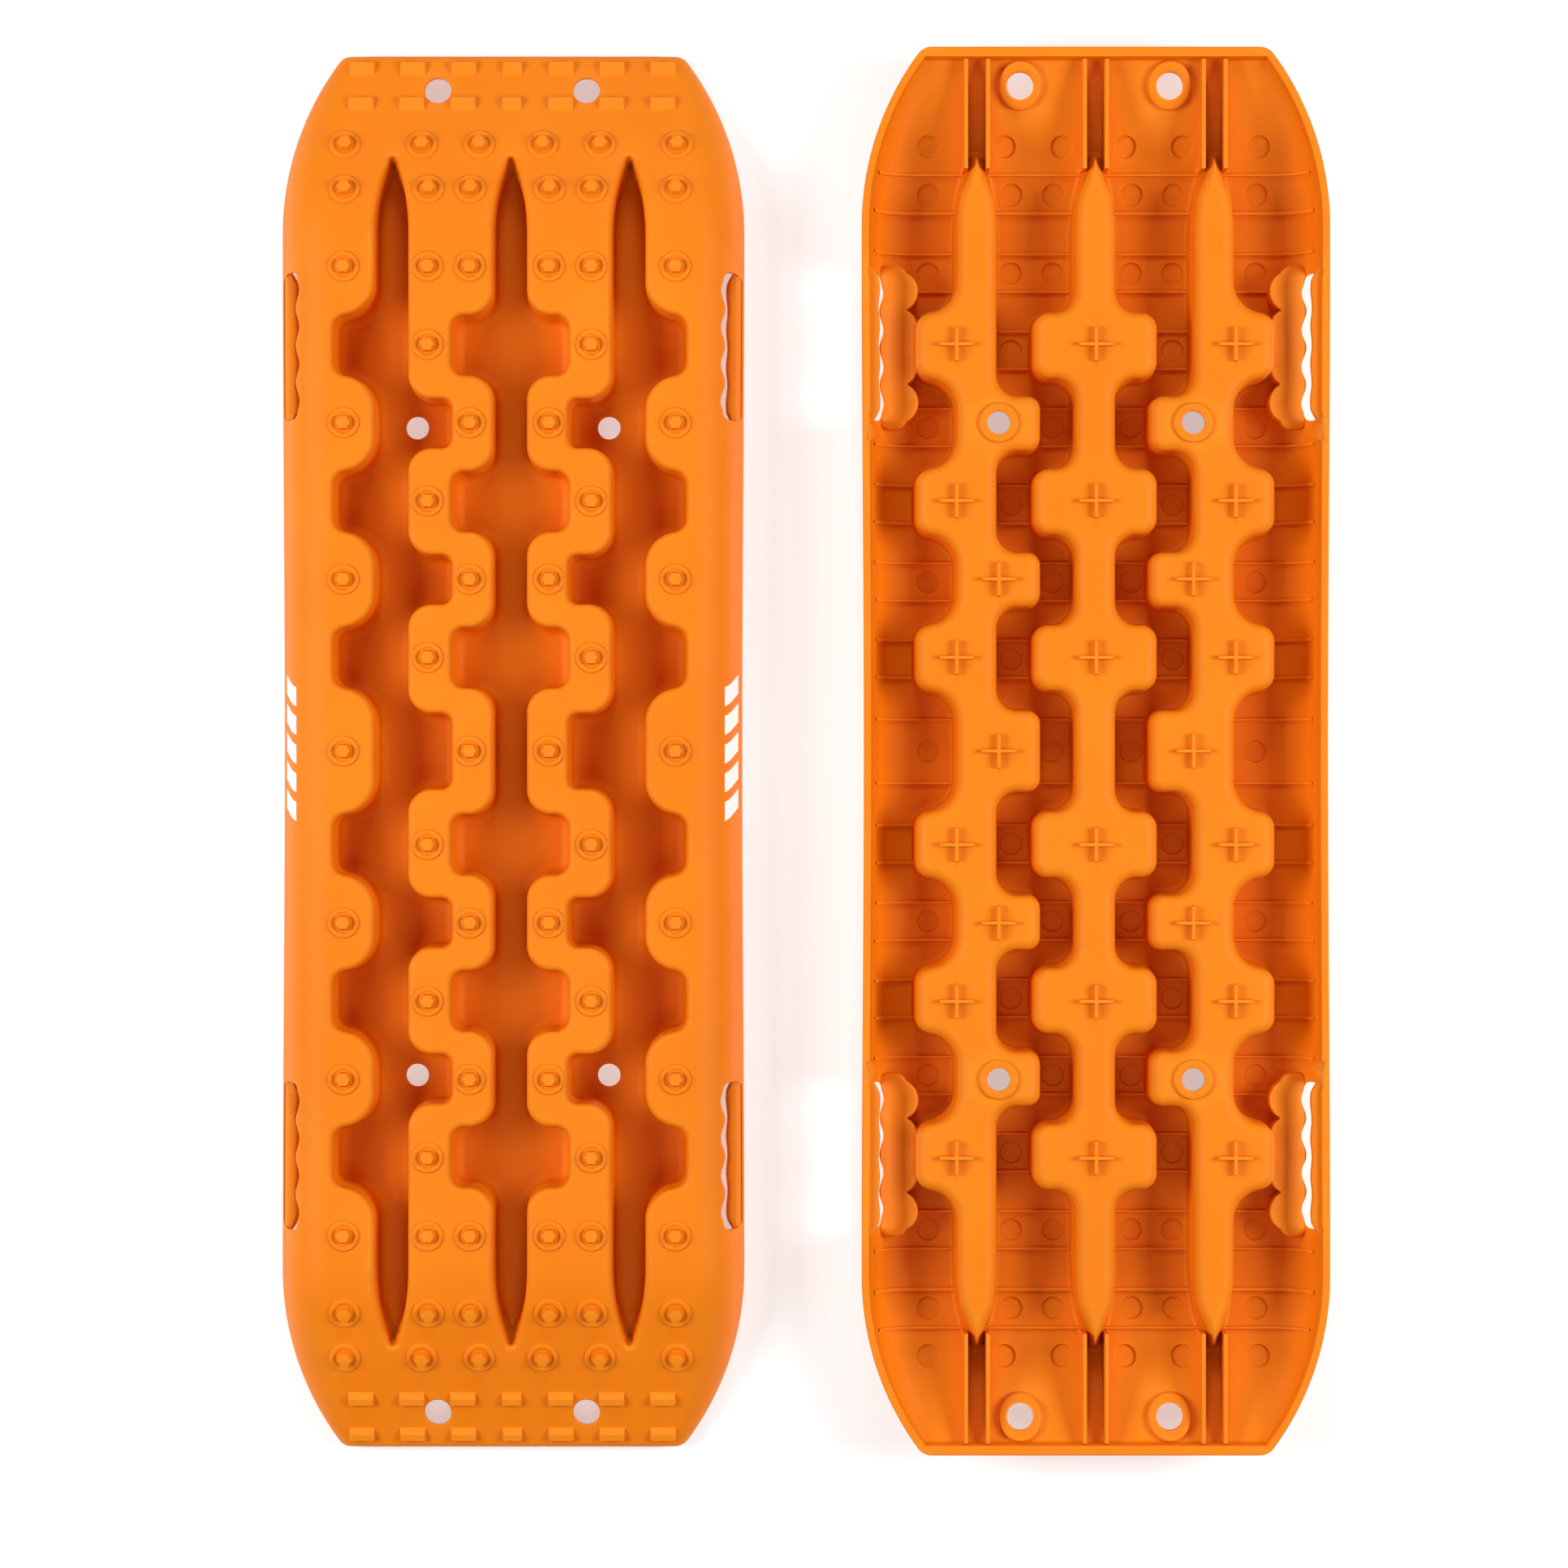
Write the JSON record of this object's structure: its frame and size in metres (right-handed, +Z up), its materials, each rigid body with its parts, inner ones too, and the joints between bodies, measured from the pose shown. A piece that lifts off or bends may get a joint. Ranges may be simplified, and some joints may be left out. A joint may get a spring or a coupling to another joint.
{
  "type": "tire traction mats",
  "caption": "Moulded plastic traction boards for stuck tyres, lying face up and face down, with grip studs, end cleats, deep channels and hand grips.",
  "frame": {"origin": "on the ground, midway between the two mats and at mid length", "axes": "+Y along the mats' length, +X from the face-up mat to the face-down mat, +Z up"},
  "size_m": [0.689, 0.92, 0.06],
  "materials": {
    "orange_plastic_up": "satin moulded, fine texture",
    "orange_plastic_down": "satin moulded, fine texture"
  },
  "bodies": {
    "face_up_mat": {"mat_face_up": "orange_plastic_up"},
    "face_down_mat": {"mat_face_down": "orange_plastic_down"}
  },
  "joints": [
    {"name": "mat_lift", "type": "slide", "parent": "face_up_mat", "child": "face_down_mat", "axis": [0, 0, 1], "range_m": [0, 0.25]}
  ]
}
